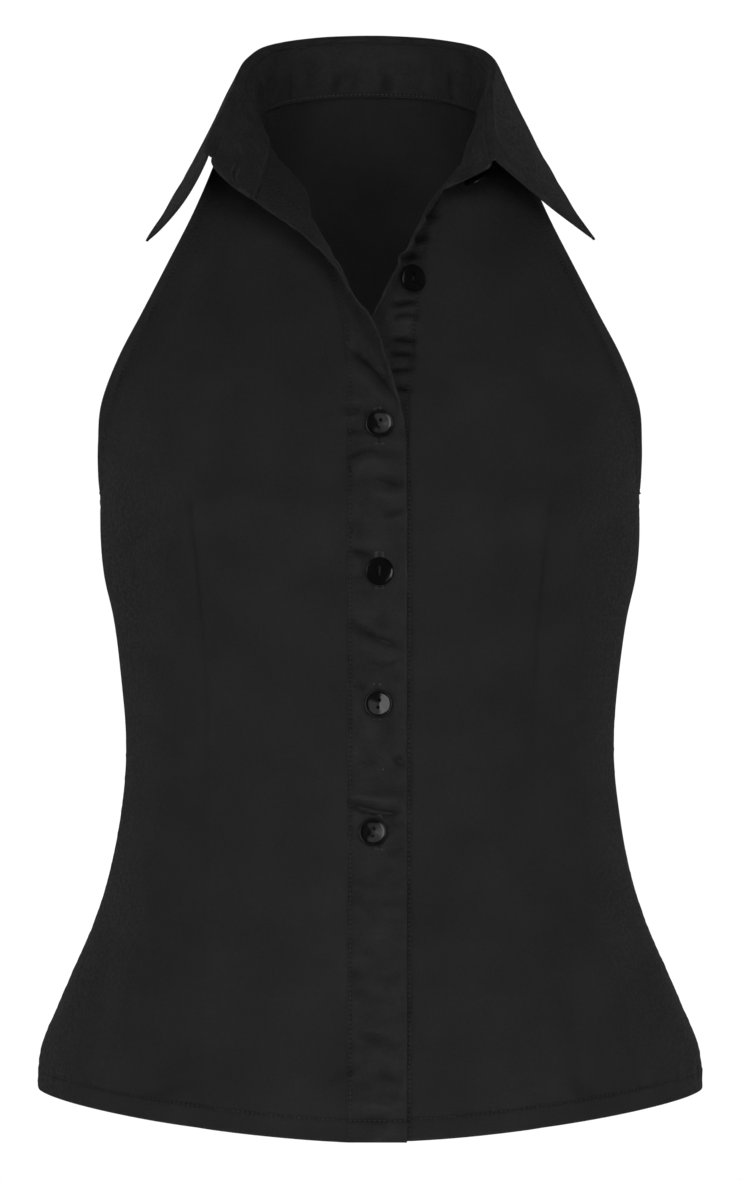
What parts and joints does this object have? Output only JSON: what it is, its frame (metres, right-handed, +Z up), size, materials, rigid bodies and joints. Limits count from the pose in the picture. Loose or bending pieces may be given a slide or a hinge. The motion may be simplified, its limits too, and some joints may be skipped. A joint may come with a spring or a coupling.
{
  "type": "sleeveless shirt",
  "caption": "Sleeveless fitted shirt with halter-cut armholes, pointed collar on a stand, button front and turned hem, open at the neck.",
  "frame": {"origin": "middle of the neck opening, level with the top of the shoulder seams", "axes": "+Z up, the front faces -Y, +X is the wearer's left"},
  "size_m": [0.3616, 0.2448, 0.5969],
  "materials": {
    "shirting": "plain woven cotton poplin, black, matt with a faint sheen",
    "placket": "the same poplin in layers, topstitched",
    "collar": "the same poplin over an interlining, edge stitched",
    "button": "polished black, sewn with black thread"
  },
  "bodies": {
    "root": {"front_right": "shirting", "front_left": "shirting", "back": "shirting", "placket_right": "placket", "placket_left": "placket", "collar_stand": "collar", "collar_fall": "collar", "button_stand": "button", "button_1": "button", "button_2": "button", "button_3": "button", "button_4": "button", "button_5": "button"}
  },
  "joints": []
}
